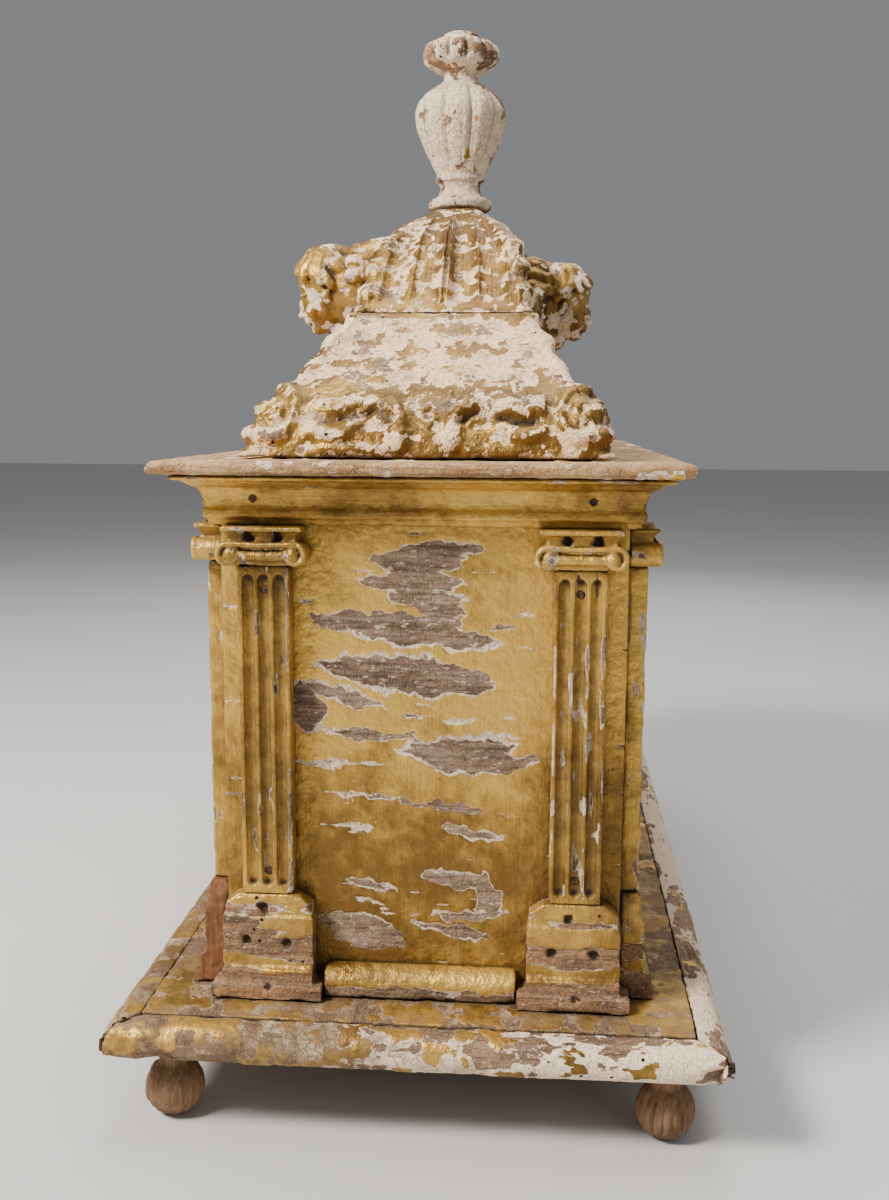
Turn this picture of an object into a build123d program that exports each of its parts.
from build123d import *
import os
from math import cos, radians, sin, sqrt

# Tabernacle box: a carved and gilded wooden casket on ball feet, with pilasters at the corners of its four
# walls, a moulded entablature, an elongated four-sided dome with a winged head on each long face, and a
# turned finial. The door with its rim lock is in the front wall.
# Millimetres, +Z up, +X to the right end, the front faces -Y. Origin on the floor, under the middle.

# ---- Driving sizes ----
body_length = 586.0         # walls, left to right
body_width = 240.0          # walls, front to back
body_height = 315.6         # walls, from the base board to the cornice board
wall = 16.0                 # thickness of every wall board
rebate = 8.0                # depth of the corner rebates in the end walls

base_overhang = 62.6        # tip of the base's nosing beyond the walls
base_thickness = 24.0
nosing_width = 20.0         # width of each nosing strip glued round the base board

foot_height = 46.0
foot_radius = 18.5
foot_inset = 35.0           # foot's axis from the nosing's tip
foot_neck_radius = 12.0
foot_pad_radius = 7.0
foot_waist_radius = 10.0    # where the neck meets the ball
dowel_radius = 6.0
dowel_depth = 15.0
dowel_clearance = 0.1

skirting_height = 18.4
skirting_proud = 15.0
skirting_round = 11.0       # height of the skirting's rounded shoulder
skirting_lip = 4.5          # flat on top of the skirting
pilaster_inset = 28.0       # pilaster's centre line from the wall's end
plinth_width = 56.0
plinth_proud = 15.0
plinth_block_height = 31.6
plinth_step_overhang = 6.0
plinth_step_proud = 22.0
tread_height = 10.1         # lower step of the plinth's foot
plinth_cap_height = 13.6
plinth_cap_top_width = 37.0
pilaster_lip = 1.0          # small steps between a pilaster's plinth, shaft and capital
shaft_width = 31.0
shaft_proud = 12.0
flute_width = 6.2
flute_spacing = 9.2
flute_depth = 3.0
flute_margin = 5.0
capital_height = 23.2
capital_width = 54.0
capital_proud = 20.0
abacus_height = 4.6
abacus_width = 49.0
volute_radius = 7.4
volute_band_height = 9.5

entablature_height = 29.2
entablature_proud = 24.0    # bed fillet under the cornice board
architrave_proud = 6.6      # lower band beyond the wall
band_height = 4.5           # each of the architrave's two bands
band_step = 2.4
frieze_flare = 4.0          # how far the hollow frieze leans out
ovolo_height = 3.6
fillet_height = 3.0         # bed fillet
fillet_step = 5.0
cornice_overhang = 35.4
cornice_thickness = 9.2
cornice_round = 4.0

dome_setback = 13.2         # dome's foot inside the walls
dome_height = 183.2
dome_joint_height = 93.2    # seam between the dome's lower block and its cap
peg_length = 8.0
wing_proud = 16.0           # front of the wings beyond the dome's seam

finial_height = 134.0
finial_radius = 36.7
finial_dowel_depth = 30.0

door_width = 220.0          # opening between the front boards
door_height = 240.0
door_sill = 34.0            # opening's lower edge above the base board
door_gap = 1.0
tenon_length = 20.0
tenon_thickness = 6.0
tenon_shoulder = 6.0
door_moulding_inset = 28.0
door_moulding_width = 12.0
door_moulding_proud = 6.0

hinge_leaf_width = 24.0
hinge_leaf_height = 30.0
hinge_leaf_thickness = 1.2
hinge_barrel_radius = 3.0
hinge_pin_radius = 1.5
hinge_pin_clearance = 0.05
hinge_pin_head_height = 1.2
hinge_stand_off = 0.2       # between the barrel and the wall's face
hinge_end_distance = 45.0   # middle of each hinge from the door's top or bottom edge
knuckle_gap = 0.3

lock_backset = 14.0         # key's axis from the door's free edge
lock_case_width = 48.0
lock_case_height = 48.0
lock_case_depth = 14.0
lock_plate = 1.5
bolt_throw = 8.0
bolt_height = 12.0
bolt_thickness = 8.0
bolt_length = 36.0
bolt_rise = 4.0             # bolt's lower edge above the key's axis
bolt_clearance = 0.2
key_shank_radius = 3.0
key_hole_clearance = 0.4
key_tip_radius = 1.8        # pivot that turns in the lock case's back
key_tip_clearance = 0.1
key_end_play = 0.3
key_bit_reach = 10.0
key_bit_thickness = 2.0
bit_clearance = 0.6         # bit's tip below the top of the bolt's notch
key_bit_width = 7.0
key_bow_radius = 13.0
key_bow_hole = 8.5
key_bow_thickness = 3.6
key_length = 52.0           # from the door's face to the far side of the bow
key_rest_angle = 45.0       # bit's lean from upright while the bolt is drawn back

nail_shank_radius = 1.2
nail_head_radius = 2.8
nail_head_height = 1.4
nail_bite = 10.0            # nail's length in the wall
nail_drop = 14.0            # nail below the shaft's top and above its foot
frieze_nail_inset = 22.0    # frieze nail from the wall's end
frieze_nail_drop = 13.6     # below the top of the walls
frieze_nail_seat = 2.0      # nail head's seat beyond the architrave's lower band
nail_head_clearance = 0.1

# ---- Levels and half sizes worked out from them ----
UP = Vector(0, 0, 1)
half_length = body_length / 2
half_width = body_width / 2
base_top = foot_height + base_thickness
wall_top = base_top + body_height
plinth_height = skirting_height + plinth_block_height + plinth_cap_height
capital_bottom = wall_top - entablature_height - capital_height
shaft_height = capital_bottom - base_top - plinth_height
cornice_top = wall_top + cornice_thickness
dome_top = cornice_top + dome_height
board_edge = base_overhang - nosing_width
panel_reach = half_length - wall + rebate
opening_bottom = base_top + door_sill
opening_top = opening_bottom + door_height
front_face = -half_width
inner_face = front_face + wall

NORMALS = {
    "front": Vector(0, -1, 0),
    "back": Vector(0, 1, 0),
    "left": Vector(-1, 0, 0),
    "right": Vector(1, 0, 0),
}


def half_across(side):
    """Distance from the middle of the body to a wall's outer face."""
    return half_length if side in ("left", "right") else half_width


def half_along(side):
    """Half of a wall's own length."""
    return half_width if side in ("left", "right") else half_length


def is_end(side):
    return side in ("left", "right")


def face_plane(side, along, height, proud=0.0):
    """Plane on a wall's outer face: local x runs along the wall, local y is up, local z points outwards."""
    normal = NORMALS[side]
    along_wall = UP.cross(normal)
    origin = normal * (half_across(side) + proud) + along_wall * along + UP * height
    return Plane(origin=origin, x_dir=along_wall, z_dir=normal)


def section_plane(side, reach, height):
    """Plane across a moulding: local x points outwards, local y is up."""
    normal = NORMALS[side]
    return Plane(origin=normal * reach + UP * height, x_dir=normal, z_dir=normal.cross(UP))


def mitre(side, reach, half_run):
    """Trims both ends of the open part at 45 degrees through the corners of the rectangle it runs round."""
    normal = NORMALS[side]
    along_wall = UP.cross(normal)
    for end in (1, -1):
        corner = normal * reach + along_wall * (end * half_run)
        split(bisect_by=Plane(origin=corner, z_dir=normal - along_wall * end), keep=Keep.TOP)


def write(part, name):
    part.label = name
    export_step(part, f"parts/{name}.step")


def pilaster_sites():
    """Each pilaster's name, wall, end of the wall and place along it."""
    sites = []
    for side in NORMALS:
        for end in (-1, 1):
            along = end * (half_along(side) - pilaster_inset)
            spot = face_plane(side, along, 0).origin
            if is_end(side):
                corner = "front" if spot.Y < 0 else "back"
            else:
                corner = "left" if spot.X < 0 else "right"
            sites.append((f"{side}_{corner}", side, end, along))
    return sites


def nail_sites(side):
    """Nail places on a wall: along it, height, and how far the head's seat stands off the wall."""
    places = []
    seat = shaft_proud - flute_depth
    for _, wall_side, _, along in pilaster_sites():
        if wall_side == side:
            places.append((along, capital_bottom - nail_drop, seat))
            places.append((along, base_top + plinth_height + nail_drop, seat))
    for end in (-1, 1):
        along = end * (half_along(side) - frieze_nail_inset)
        places.append((along, wall_top - frieze_nail_drop, architrave_proud + frieze_nail_seat))
    return places


def cut_nail_holes(side):
    """Cuts a wall's nail holes in the open part."""
    for along, height, _ in nail_sites(side):
        with BuildSketch(face_plane(side, along, height)) as nail_hole:
            Circle(nail_shank_radius)
        extrude(nail_hole.sketch, amount=-nail_bite, mode=Mode.SUBTRACT)


# ---- Base ----
def make_base_board():
    with BuildPart() as base_board:
        with BuildSketch(Plane.XY.offset(foot_height)):
            Rectangle(2 * (half_length + board_edge), 2 * (half_width + board_edge))
        extrude(amount=base_thickness)
        with BuildSketch(Plane.XY.offset(foot_height)):
            with Locations(*foot_places()):
                Circle(dowel_radius + dowel_clearance)
        extrude(amount=dowel_depth, mode=Mode.SUBTRACT)
    write(base_board.part, "base_board")


def foot_places():
    x = half_length + base_overhang - foot_inset
    y = half_width + base_overhang - foot_inset
    return [(-x, -y), (x, -y), (-x, y), (x, y)]


def make_base_nosing(side):
    """Strip with a half-round edge, mitred at the corners of the base board."""
    reach = half_across(side) + board_edge
    half_run = half_along(side) + board_edge
    nose = base_thickness / 2
    flat = nosing_width - nose
    with BuildPart() as base_nosing:
        with BuildSketch(section_plane(side, reach, foot_height)):
            with BuildLine():
                Line((0, 0), (flat, 0))
                ThreePointArc((flat, 0), (nosing_width, nose), (flat, base_thickness))
                Polyline((flat, base_thickness), (0, base_thickness), (0, 0))
            make_face()
        extrude(amount=half_run + nosing_width, both=True)
        mitre(side, reach, half_run)
    write(base_nosing.part, f"base_nosing_{side}")


def make_foot(name, x, y):
    """Turned ball foot, cut flat below, with a flaring neck and a dowel that enters the base board."""
    ball_centre = sqrt(foot_radius**2 - foot_pad_radius**2)
    ball_top = ball_centre + sqrt(foot_radius**2 - foot_waist_radius**2)
    with BuildPart() as foot:
        with BuildSketch(Plane(origin=(x, y, 0), x_dir=(1, 0, 0), z_dir=(0, -1, 0))):
            with BuildLine():
                Line((0, 0), (foot_pad_radius, 0))
                ThreePointArc((foot_pad_radius, 0), (foot_radius, ball_centre),
                              (foot_waist_radius, ball_top))
                Polyline((foot_waist_radius, ball_top), (foot_neck_radius, foot_height),
                         (dowel_radius, foot_height), (dowel_radius, foot_height + dowel_depth),
                         (0, foot_height + dowel_depth), (0, 0))
            make_face()
        revolve(axis=Axis((x, y, 0), (0, 0, 1)))
    write(foot.part, name)


# ---- Walls ----
def make_end_panel(side):
    """End wall, as wide as the body, rebated for the front and back boards."""
    with BuildPart() as end_panel:
        with BuildSketch(face_plane(side, 0, base_top)):
            Rectangle(body_width, body_height, align=(Align.CENTER, Align.MIN))
        extrude(amount=-wall)
        with BuildSketch(face_plane(side, 0, base_top, -wall)):
            for end in (-1, 1):
                with Locations((end * (half_width - wall / 2), 0)):
                    Rectangle(wall, body_height, align=(Align.CENTER, Align.MIN))
        extrude(amount=rebate, mode=Mode.SUBTRACT)
        cut_nail_holes(side)
    write(end_panel.part, f"{side}_end_panel")


def make_back_panel():
    with BuildPart() as back_panel:
        with BuildSketch(face_plane("back", 0, base_top)):
            Rectangle(2 * panel_reach, body_height, align=(Align.CENTER, Align.MIN))
        extrude(amount=-wall)
        cut_nail_holes("back")
    write(back_panel.part, "back_panel")


def rail_spans():
    """Lower edge and height of each front rail."""
    return {
        "bottom": (base_top, door_sill),
        "top": (opening_top, wall_top - opening_top),
    }


def make_front_panel(name, end):
    """Front board beside the door, mortised in its edge for the two rails."""
    width = panel_reach - door_width / 2
    centre = end * (door_width / 2 + width / 2)
    mortise_centre = end * (door_width / 2 + tenon_length / 2)
    with BuildPart() as front_panel:
        with BuildSketch(face_plane("front", centre, base_top)):
            Rectangle(width, body_height, align=(Align.CENTER, Align.MIN))
        extrude(amount=-wall)
        for bottom, height in rail_spans().values():
            with BuildSketch(face_plane("front", mortise_centre, bottom + tenon_shoulder,
                                        -(wall - tenon_thickness) / 2)):
                Rectangle(tenon_length, height - 2 * tenon_shoulder, align=(Align.CENTER, Align.MIN))
            extrude(amount=-tenon_thickness, mode=Mode.SUBTRACT)
        for along, height, _ in nail_sites("front"):
            if along * end > 0:
                with BuildSketch(face_plane("front", along, height)):
                    Circle(nail_shank_radius)
                extrude(amount=-nail_bite, mode=Mode.SUBTRACT)
    write(front_panel.part, name)


def make_front_rail(place):
    """Rail above or below the door, with a tenon at each end."""
    bottom, height = rail_spans()[place]
    with BuildPart() as front_rail:
        with BuildSketch(face_plane("front", 0, bottom)):
            Rectangle(door_width, height, align=(Align.CENTER, Align.MIN))
        extrude(amount=-wall)
        with BuildSketch(face_plane("front", 0, bottom + tenon_shoulder, -(wall - tenon_thickness) / 2)):
            Rectangle(door_width + 2 * tenon_length, height - 2 * tenon_shoulder,
                      align=(Align.CENTER, Align.MIN))
        extrude(amount=-tenon_thickness)
    write(front_rail.part, f"front_rail_{place}")


# ---- Pilasters and the mouldings between them ----
def make_plinth(name, side, end, along):
    """Plinth block with a stepped foot and a sloping cap under the shaft."""
    foot_overhang = plinth_step_overhang if is_end(side) else 0.0
    foot_width = plinth_width + plinth_step_overhang + foot_overhang
    foot_centre = along + end * (foot_overhang - plinth_step_overhang) / 2
    block_bottom = base_top + skirting_height
    cap_bottom = block_bottom + plinth_block_height
    with BuildPart() as plinth:
        with BuildSketch(face_plane(side, foot_centre, base_top)):
            Rectangle(foot_width, tread_height, align=(Align.CENTER, Align.MIN))
        extrude(amount=plinth_step_proud)
        with BuildSketch(face_plane(side, along, base_top + tread_height)):
            Rectangle(plinth_width, skirting_height - tread_height, align=(Align.CENTER, Align.MIN))
        extrude(amount=(plinth_step_proud + plinth_proud) / 2)
        with BuildSketch(face_plane(side, along, block_bottom)):
            Rectangle(plinth_width, plinth_block_height, align=(Align.CENTER, Align.MIN))
        extrude(amount=plinth_proud)
        with BuildSketch(face_plane(side, along, cap_bottom)):
            with BuildLine():
                low = plinth_width / 2 - pilaster_lip
                high = plinth_cap_top_width / 2
                shoulder = plinth_cap_height / 2
                Polyline((-low, 0), (low, 0), (low, shoulder), (high, plinth_cap_height),
                         (-high, plinth_cap_height), (-low, shoulder), close=True)
            make_face()
        extrude(amount=shaft_proud + pilaster_lip)
    write(plinth.part, f"plinth_{name}")


def make_shaft(name, side, along):
    """Fluted shaft, drilled for the two nails that hold it."""
    foot = base_top + plinth_height
    with BuildPart() as shaft:
        with BuildSketch(face_plane(side, along, foot)):
            Rectangle(shaft_width, shaft_height, align=(Align.CENTER, Align.MIN))
        extrude(amount=shaft_proud)
        with BuildSketch(face_plane(side, along, foot + shaft_height / 2, shaft_proud)):
            with GridLocations(flute_spacing, 1, 3, 1):
                SlotOverall(shaft_height - 2 * flute_margin, flute_width, rotation=90)
        extrude(amount=-flute_depth, mode=Mode.SUBTRACT)
        for drop in (nail_drop, shaft_height - nail_drop):
            with BuildSketch(face_plane(side, along, foot + drop)):
                Circle(nail_shank_radius)
            extrude(amount=shaft_proud, mode=Mode.SUBTRACT)
    write(shaft.part, f"shaft_{name}")


def make_capital(name, side, along):
    """Ionic capital: neck, scroll band with a volute at each end, and abacus."""
    volute_place = capital_width / 2 - volute_radius
    neck_top = capital_height - abacus_height - volute_band_height
    with BuildPart() as capital:
        with BuildSketch(face_plane(side, along, capital_bottom)):
            Rectangle(shaft_width, capital_height, align=(Align.CENTER, Align.MIN))
        extrude(amount=shaft_proud + pilaster_lip)
        with BuildSketch(face_plane(side, along, capital_bottom)):
            with Locations((-volute_place, volute_radius), (volute_place, volute_radius)):
                Circle(volute_radius)
            with Locations((0, neck_top)):
                Rectangle(2 * volute_place, volute_band_height, align=(Align.CENTER, Align.MIN))
        extrude(amount=capital_proud - pilaster_lip)
        with BuildSketch(face_plane(side, along, capital_bottom, capital_proud - pilaster_lip)):
            with Locations((-volute_place, volute_radius), (volute_place, volute_radius)):
                Circle(volute_radius / 3)
        extrude(amount=pilaster_lip)
        with BuildSketch(face_plane(side, along, wall_top - entablature_height - abacus_height)):
            Rectangle(abacus_width, abacus_height, align=(Align.CENTER, Align.MIN))
        extrude(amount=capital_proud - 2 * pilaster_lip)
    write(capital.part, f"capital_{name}")


def make_skirting():
    """The four lengths of skirting between the plinths."""
    lengths = []
    for side in NORMALS:
        half_run = half_along(side) - 2 * pilaster_inset - plinth_step_overhang
        with BuildPart() as length:
            with BuildSketch(section_plane(side, half_across(side), base_top)):
                with BuildLine():
                    Polyline((0, skirting_height), (0, 0), (skirting_proud, 0),
                             (skirting_proud, skirting_height - skirting_round))
                    ThreePointArc((skirting_proud, skirting_height - skirting_round),
                                  (skirting_proud * 0.72, skirting_height - skirting_round * 0.3),
                                  (skirting_lip, skirting_height))
                    Line((skirting_lip, skirting_height), (0, skirting_height))
                make_face()
            extrude(amount=half_run, both=True)
        lengths.append(length.part.solid())
    write(Compound(lengths), "skirting")


def make_entablature(side):
    """Two-band architrave, hollow frieze and bed fillet in one mitred moulding."""
    reach = half_across(side)
    upper_band = architrave_proud + band_step
    frieze_bottom = 2 * band_height
    frieze_foot = upper_band - band_step / 2
    frieze_head = frieze_foot + frieze_flare
    frieze_top = entablature_height - fillet_height - ovolo_height
    fillet_bottom = entablature_height - fillet_height
    ovolo_foot = frieze_head + band_step
    ovolo_head = entablature_proud - fillet_step
    with BuildPart() as entablature:
        with BuildSketch(section_plane(side, reach, wall_top - entablature_height)):
            with BuildLine():
                Polyline((0, entablature_height), (0, 0), (architrave_proud, 0),
                         (architrave_proud, band_height), (upper_band, band_height),
                         (upper_band, frieze_bottom), (frieze_foot, frieze_bottom))
                ThreePointArc((frieze_foot, frieze_bottom),
                              (frieze_foot + frieze_flare / 5, (frieze_bottom + frieze_top) / 2),
                              (frieze_head, frieze_top))
                Polyline((frieze_head, frieze_top), (ovolo_foot, frieze_top), (ovolo_head, fillet_bottom),
                         (entablature_proud, fillet_bottom), (entablature_proud, entablature_height),
                         (0, entablature_height))
            make_face()
        extrude(amount=half_along(side) + entablature_proud, both=True)
        mitre(side, reach, half_along(side))
        for along, height, seat in nail_sites(side)[-2:]:
            with BuildSketch(face_plane(side, along, height)):
                Circle(nail_shank_radius)
            extrude(amount=entablature_proud, mode=Mode.SUBTRACT)
            with BuildSketch(face_plane(side, along, height, seat)):
                Circle(nail_head_radius + nail_head_clearance)
            extrude(amount=entablature_proud, mode=Mode.SUBTRACT)
    write(entablature.part, f"entablature_{side}")


def make_nails():
    """Hand-forged nails through the shafts and the frieze into the walls."""
    nails = []
    for side in NORMALS:
        for along, height, seat in nail_sites(side):
            with BuildPart() as nail:
                with BuildSketch(face_plane(side, along, height, -nail_bite)):
                    Circle(nail_shank_radius)
                extrude(amount=nail_bite + seat)
                with BuildSketch(face_plane(side, along, height, seat)):
                    Circle(nail_head_radius)
                extrude(amount=nail_head_height)
            nails.append(nail.part.solid())
    write(Compound(nails), "nails")


def make_cornice_board():
    """Thin projecting board on top of the walls, with rounded edges and holes for the dome's pegs."""
    with BuildPart() as cornice_board:
        with BuildSketch(Plane.XY.offset(wall_top)):
            Rectangle(2 * (half_length + cornice_overhang), 2 * (half_width + cornice_overhang))
        extrude(amount=cornice_thickness)
        flat_edges = cornice_board.edges().filter_by(Axis.Z, reverse=True)
        fillet(flat_edges, radius=cornice_round)
        with BuildSketch(Plane.XY.offset(cornice_top)):
            with GridLocations(half_length, 1, 2, 1):
                Circle(dowel_radius + dowel_clearance)
        extrude(amount=-peg_length, mode=Mode.SUBTRACT)
    write(cornice_board.part, "cornice_board")


# ---- Dome, winged heads and finial ----
dome_half_length = half_length - dome_setback
dome_half_width = half_width - dome_setback

# A wing's outline from the middle of the head: across and up.
WING_OUTLINE = ((0, -10), (38, -34), (100, -40), (112, -22), (74, 6), (30, 24), (0, 18))
neck_share = 0.7            # neck's width from the head's
chin_share = 0.86           # chin's radius from the head's

# Sections of the dome: share of its height, share of its half length and of its half width.
LOWER_SECTIONS = ((0.0, 1.0, 1.0), (0.07, 0.985, 0.98), (0.24, 0.83, 0.80))
SEAM_SECTION = (0.575, 0.528)
CAP_SECTIONS = ((0.68, 0.468, 0.487), (0.82, 0.375, 0.43), (0.90, 0.271, 0.335), (0.95, 0.186, 0.235),
                (1.0, 0.086, 0.122))


def dome_section(height, length_share, width_share):
    with BuildSketch(Plane.XY.offset(cornice_top + height)) as section:
        Rectangle(2 * dome_half_length * length_share, 2 * dome_half_width * width_share)
    return section.sketch.face()


def make_dome_lower():
    """Lower block of the dome, pegged to the cornice board and bored for the cap's pegs."""
    with BuildPart() as dome_lower:
        sections = [dome_section(share * dome_height, *shares) for share, *shares in LOWER_SECTIONS]
        sections.append(dome_section(dome_joint_height, *SEAM_SECTION))
        loft(sections, ruled=True)
        with BuildSketch(Plane.XY.offset(cornice_top)):
            with GridLocations(half_length, 1, 2, 1):
                Circle(dowel_radius)
        extrude(amount=-peg_length)
        with BuildSketch(Plane.XY.offset(cornice_top + dome_joint_height)):
            with GridLocations(dome_half_length * 0.6, 1, 2, 1):
                Circle(dowel_radius + dowel_clearance)
        extrude(amount=-peg_length, mode=Mode.SUBTRACT)
    write(dome_lower.part, "dome_lower")
    return dome_lower.part


def make_dome_cap():
    """Rounded cap of the dome, with pegs below and the finial's socket on top."""
    with BuildPart() as dome_cap:
        sections = [dome_section(dome_joint_height, *SEAM_SECTION)]
        sections += [dome_section(share * dome_height, *shares) for share, *shares in CAP_SECTIONS]
        loft(sections, ruled=True)
        with BuildSketch(Plane.XY.offset(cornice_top + dome_joint_height)):
            with GridLocations(dome_half_length * 0.6, 1, 2, 1):
                Circle(dowel_radius)
        extrude(amount=-peg_length)
        with BuildSketch(Plane.XY.offset(dome_top)):
            Circle(dowel_radius + dowel_clearance)
        extrude(amount=-finial_dowel_depth, mode=Mode.SUBTRACT)
    write(dome_cap.part, "dome_cap")
    return dome_cap.part


def make_cherub(side, head_radius, head_half_height, stand_off, rise, dome_blocks):
    """Winged head on a long face of the dome: its wings and neck are cut to the dome's slope."""
    outward = NORMALS[side]
    seam_half_width = dome_half_width * SEAM_SECTION[1]
    middle = UP * (cornice_top + dome_joint_height + rise)
    head_centre = middle + outward * (seam_half_width + stand_off + head_radius)
    wing_front = middle + outward * (seam_half_width + wing_proud)
    bury = seam_half_width / 4
    with BuildPart() as cherub:
        with BuildSketch(Plane(origin=head_centre, x_dir=(1, 0, 0), z_dir=outward)):
            Ellipse(head_radius * neck_share, head_half_height * neck_share)
        extrude(amount=-(stand_off + head_radius + bury))
        with BuildSketch(Plane(origin=wing_front, x_dir=(1, 0, 0), z_dir=(0, -1, 0))):
            for end in (-1, 1):
                with BuildLine():
                    Polyline([(end * across, up) for across, up in WING_OUTLINE], close=True)
                make_face()
        extrude(amount=outward.Y * (wing_proud + bury))
        for block in dome_blocks:
            add(block, mode=Mode.SUBTRACT)
        with Locations(head_centre + UP * (head_half_height - head_radius)):
            Sphere(head_radius)
        chin_radius = head_radius * chin_share
        with Locations(head_centre - UP * (head_half_height - chin_radius)):
            Sphere(chin_radius)
    write(cherub.part, f"cherub_{side}")


def make_finial():
    """Turned finial: base disc, gadrooned bulb and flared crown, with its dowel."""
    r = finial_radius
    h = finial_height
    with BuildPart() as finial:
        with BuildSketch(Plane(origin=(0, 0, dome_top), x_dir=(1, 0, 0), z_dir=(0, -1, 0))):
            with BuildLine():
                Polyline((0, -finial_dowel_depth), (dowel_radius, -finial_dowel_depth), (dowel_radius, 0),
                         (0.6 * r, 0), (0.66 * r, 0.02 * h))
                ThreePointArc((0.66 * r, 0.02 * h), (0.68 * r, 0.05 * h), (0.55 * r, 0.085 * h))
                Line((0.55 * r, 0.085 * h), (0.34 * r, 0.13 * h))
                Line((0.34 * r, 0.13 * h), (0.34 * r, 0.21 * h))
                Spline((0.34 * r, 0.21 * h), (0.72 * r, 0.36 * h), (r, 0.52 * h), (0.8 * r, 0.65 * h),
                       (0.36 * r, 0.715 * h))
                Line((0.36 * r, 0.715 * h), (0.38 * r, 0.775 * h))
                Line((0.38 * r, 0.775 * h), (0.83 * r, 0.84 * h))
                ThreePointArc((0.83 * r, 0.84 * h), (0.8 * r, 0.94 * h), (0.55 * r, h))
                Polyline((0.55 * r, h), (0, h), (0, -finial_dowel_depth))
            make_face()
        revolve(axis=Axis.Z)
    write(finial.part, "finial")


# ---- Door ----
door_left = -door_width / 2 + door_gap
door_right = door_width / 2 - door_gap
door_bottom = opening_bottom + door_gap
door_panel_height = door_height - 2 * door_gap
key_x = door_right - lock_backset
key_z = opening_bottom + door_height / 2
hinge_x = -door_width / 2 + door_gap / 2
hinge_y = front_face - hinge_barrel_radius - hinge_stand_off
hinge_heights = (opening_bottom + hinge_end_distance, opening_top - hinge_end_distance)


def keyhole(depth, start):
    """Cuts the keyhole, a round hole over a slot, from a plane that faces forwards."""
    with BuildSketch(Plane(origin=(key_x, start, key_z), x_dir=(1, 0, 0), z_dir=(0, -1, 0))) as opening:
        Circle(key_shank_radius + key_hole_clearance)
        Rectangle(key_bit_thickness + 2 * key_hole_clearance, key_bit_reach + 2 * key_hole_clearance,
                  align=(Align.CENTER, Align.MAX))
    extrude(opening.sketch, amount=-depth, mode=Mode.SUBTRACT)


def make_door_panel():
    with BuildPart() as door_panel:
        with BuildSketch(face_plane("front", 0, door_bottom)):
            Rectangle(door_right - door_left, door_panel_height, align=(Align.CENTER, Align.MIN))
        extrude(amount=-wall)
        keyhole(wall, front_face)
    write(door_panel.part, "door_panel")


def make_door_moulding():
    """Four mitred strips that frame the door's field."""
    outer_x = door_right - door_moulding_inset
    outer_z = door_panel_height / 2 - door_moulding_inset
    strips = []
    for index, (run, reach) in enumerate(((outer_x, outer_z), (outer_z, outer_x)) * 2):
        turn = 90 * index
        outward = Vector(sin(radians(turn)), 0, cos(radians(turn)))
        along = Vector(cos(radians(turn)), 0, -sin(radians(turn)))
        middle = Vector(0, front_face, key_z)
        with BuildPart() as strip:
            with BuildSketch(Plane(origin=middle + outward * (reach - door_moulding_width), x_dir=outward,
                                   z_dir=outward.cross(Vector(0, -1, 0)))):
                with BuildLine():
                    Line((0, 0), (door_moulding_width, 0))
                    Line((door_moulding_width, 0), (door_moulding_width, door_moulding_proud * 0.5))
                    ThreePointArc((door_moulding_width, door_moulding_proud * 0.5),
                                  (door_moulding_width * 0.6, door_moulding_proud),
                                  (0, door_moulding_proud * 0.3))
                    Line((0, door_moulding_proud * 0.3), (0, 0))
                make_face()
            extrude(amount=run, both=True)
            for end in (1, -1):
                corner = middle + outward * reach + along * (end * run)
                split(bisect_by=Plane(origin=corner, z_dir=outward - along * end), keep=Keep.TOP)
        strips.append(strip.part.solid())
    write(Compound(strips), "door_moulding")


def knuckle_spans():
    """Lower end and length of the three knuckles of a hinge, from the hinge's middle."""
    length = (hinge_leaf_height - 2 * knuckle_gap) / 3
    start = -hinge_leaf_height / 2
    return [(start + index * (length + knuckle_gap), length) for index in range(3)]


def hinge_leaf(middle, end, knuckles):
    """One leaf with its knuckles: end is -1 for the leaf on the frame and 1 for the leaf on the door."""
    clear_x = hinge_barrel_radius + 1
    plate_centre = hinge_x + end * (clear_x + (hinge_leaf_width - clear_x) / 2)
    with BuildPart() as leaf:
        with BuildSketch(face_plane("front", plate_centre, middle)):
            Rectangle(hinge_leaf_width - clear_x, hinge_leaf_height)
        extrude(amount=hinge_leaf_thickness)
        for start, length in knuckles:
            with BuildSketch(face_plane("front", hinge_x + end * clear_x / 2, middle + start)):
                Rectangle(clear_x, length, align=(Align.CENTER, Align.MIN))
            extrude(amount=hinge_leaf_thickness)
            with BuildSketch(Plane(origin=(hinge_x, hinge_y, middle + start))):
                Circle(hinge_barrel_radius)
            extrude(amount=length)
            with BuildSketch(Plane(origin=(hinge_x, hinge_y, middle + start))):
                Circle(hinge_pin_radius + (hinge_pin_clearance if end > 0 else 0.0))
            extrude(amount=length, mode=Mode.SUBTRACT)
    return leaf.part.solid()


def hinge_pin(middle):
    with BuildPart() as pin:
        with BuildSketch(Plane(origin=(hinge_x, hinge_y, middle - hinge_leaf_height / 2))):
            Circle(hinge_pin_radius)
        extrude(amount=hinge_leaf_height)
        with BuildSketch(Plane(origin=(hinge_x, hinge_y, middle + hinge_leaf_height / 2))):
            Circle((hinge_pin_radius + hinge_barrel_radius) / 2)
        extrude(amount=hinge_pin_head_height)
    return pin.part.solid()


def make_hinges():
    """Two butt hinges on the front: frame leaves with the fixed pins, and door leaves."""
    spans = knuckle_spans()
    frame_side = []
    door_side = []
    for middle in hinge_heights:
        frame_side.append(hinge_leaf(middle, -1, (spans[0], spans[2])))
        frame_side.append(hinge_pin(middle))
        door_side.append(hinge_leaf(middle, 1, (spans[1],)))
    write(Compound(frame_side), "hinge_frame_leaves")
    write(Compound(door_side), "hinge_door_leaves")


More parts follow.
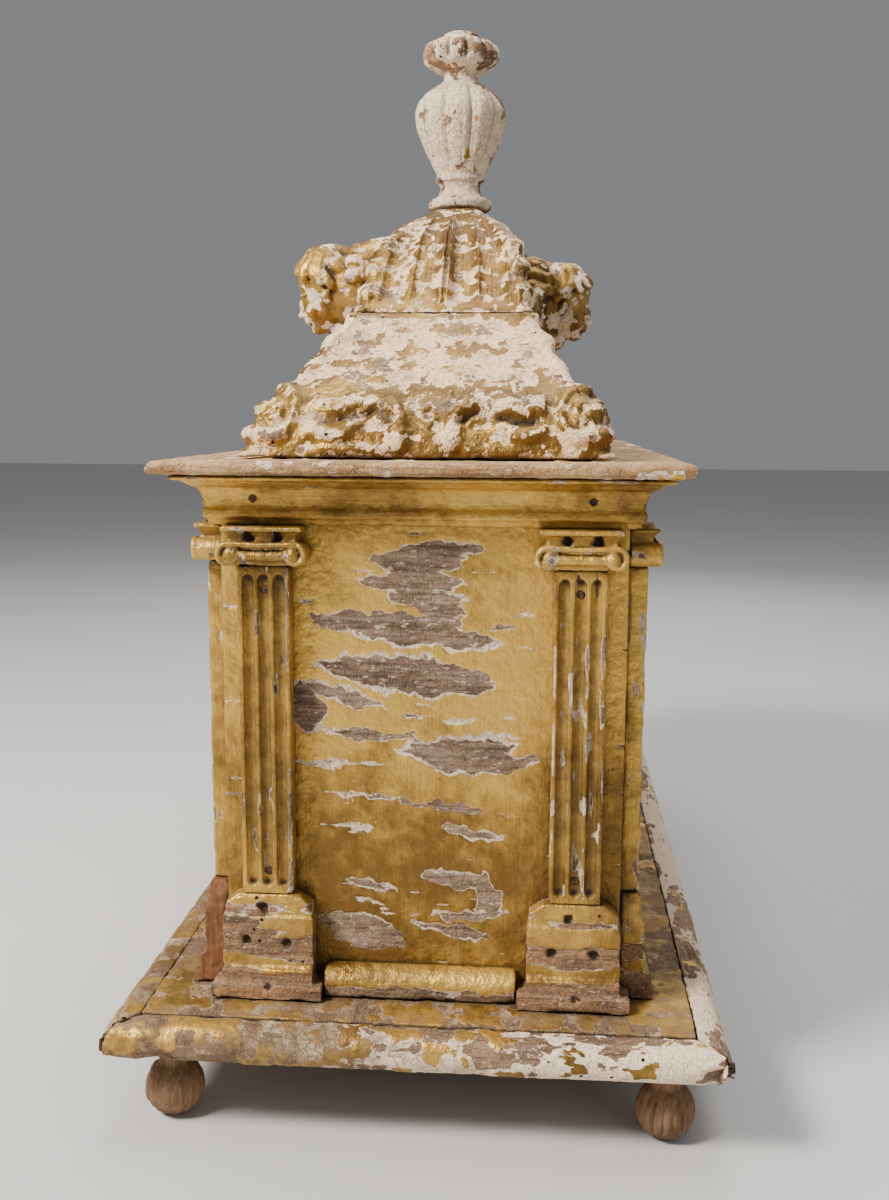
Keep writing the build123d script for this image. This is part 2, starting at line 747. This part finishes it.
# ---- Lock ----
case_right = door_right - 1
case_left = case_right - lock_case_width
case_back = inner_face + lock_case_depth
bolt_bottom = key_z + bolt_rise


def make_escutcheon():
    plate_width = 2 * (lock_backset - 2)
    with BuildPart() as escutcheon:
        with BuildSketch(face_plane("front", key_x, key_z - 4)):
            SlotOverall(plate_width * 1.7, plate_width, rotation=90)
        extrude(amount=hinge_leaf_thickness)
        keyhole(2 * hinge_leaf_thickness, front_face - hinge_leaf_thickness)
    write(escutcheon.part, "escutcheon")


def make_lock_case():
    """Iron case on the door's inner face, open towards the wood, slotted for the bolt."""
    middle_x = (case_left + case_right) / 2
    inner = Plane(origin=(0, inner_face, 0), x_dir=(1, 0, 0), z_dir=(0, -1, 0))
    with BuildPart() as lock_case:
        with BuildSketch(inner):
            with Locations((middle_x, key_z)):
                Rectangle(lock_case_width, lock_case_height)
        extrude(amount=-lock_case_depth)
        with BuildSketch(inner):
            with Locations((middle_x, key_z)):
                Rectangle(lock_case_width - 2 * lock_plate, lock_case_height - 2 * lock_plate)
        extrude(amount=-(lock_case_depth - lock_plate), mode=Mode.SUBTRACT)
        with BuildSketch(inner):
            with Locations((case_right, bolt_bottom + bolt_height / 2)):
                Rectangle(4 * lock_plate, bolt_height + 2 * bolt_clearance)
        extrude(amount=-(bolt_thickness + 2 * bolt_clearance), mode=Mode.SUBTRACT)
        with BuildSketch(inner):
            with Locations((key_x, key_z)):
                Circle(key_tip_radius + key_tip_clearance)
        extrude(amount=-lock_case_depth, mode=Mode.SUBTRACT)
    write(lock_case.part, "lock_case")


def make_lock_bolt():
    """Sliding bolt with the notch that the key's bit turns in."""
    travel_middle = key_x - bolt_throw / 2
    notch_half = key_bit_reach * sin(radians(key_rest_angle)) - bolt_throw / 2 + key_bit_thickness * 0.8
    notch_height = key_bit_reach + bit_clearance - bolt_rise
    start_y = inner_face + bolt_clearance
    with BuildPart() as lock_bolt:
        with BuildSketch(Plane(origin=(0, start_y, 0), x_dir=(1, 0, 0), z_dir=(0, -1, 0))):
            with Locations((case_right, bolt_bottom)):
                Rectangle(bolt_length, bolt_height, align=(Align.MAX, Align.MIN))
            with Locations((travel_middle, bolt_bottom)):
                Rectangle(2 * notch_half, notch_height, align=(Align.CENTER, Align.MIN), mode=Mode.SUBTRACT)
        extrude(amount=-bolt_thickness)
    write(lock_bolt.part, "lock_bolt")


def make_key():
    """Key with a ring bow; its bit leans away from the bolt's free end while the bolt is drawn back."""
    lean = radians(key_rest_angle)
    outwards = Vector(0, -1, 0)
    bit_up = Vector(-sin(lean), 0, cos(lean))
    tip = Vector(key_x, case_back - lock_plate - key_end_play, key_z)
    bow_centre = Vector(key_x, front_face - key_length + key_bow_radius, key_z)
    bow_near = bow_centre - outwards * (key_bow_radius - 1)
    flat = outwards.cross(bit_up)
    with BuildPart() as key:
        with BuildSketch(Plane(origin=tip, x_dir=(1, 0, 0), z_dir=outwards)):
            Circle(key_shank_radius)
        extrude(amount=(bow_near - tip).length)
        with BuildSketch(Plane(origin=tip, x_dir=(1, 0, 0), z_dir=outwards)):
            Circle(key_tip_radius)
        extrude(amount=-(lock_plate + 2 * key_end_play))
        with BuildSketch(Plane(origin=tip, x_dir=outwards, z_dir=flat)):
            with Locations((1, 0)):
                Rectangle(key_bit_width, key_bit_reach, align=(Align.MIN, Align.MIN))
        extrude(amount=key_bit_thickness / 2, both=True)
        with BuildSketch(Plane(origin=bow_centre, x_dir=outwards, z_dir=flat)):
            Circle(key_bow_radius)
            Circle(key_bow_hole, mode=Mode.SUBTRACT)
        extrude(amount=key_bow_thickness / 2, both=True)
    write(key.part, "key")


def main():
    os.makedirs("parts", exist_ok=True)
    make_base_board()
    for side in NORMALS:
        make_base_nosing(side)
        make_entablature(side)
    foot_names = ("foot_front_left", "foot_front_right", "foot_back_left", "foot_back_right")
    for name, (x, y) in zip(foot_names, foot_places()):
        make_foot(name, x, y)
    make_end_panel("left")
    make_end_panel("right")
    make_back_panel()
    make_front_panel("front_panel_left", -1)
    make_front_panel("front_panel_right", 1)
    make_front_rail("bottom")
    make_front_rail("top")
    for name, side, end, along in pilaster_sites():
        make_plinth(name, side, end, along)
        make_shaft(name, side, along)
        make_capital(name, side, along)
    make_skirting()
    make_nails()
    make_cornice_board()
    dome_blocks = (make_dome_lower(), make_dome_cap())
    make_cherub("front", 29.0, 42.0, 20.6, 25.8, dome_blocks)
    make_cherub("back", 26.0, 33.0, 0.5, 19.8, dome_blocks)
    make_finial()
    make_door_panel()
    make_door_moulding()
    make_hinges()
    make_escutcheon()
    make_lock_case()
    make_lock_bolt()
    make_key()


main()
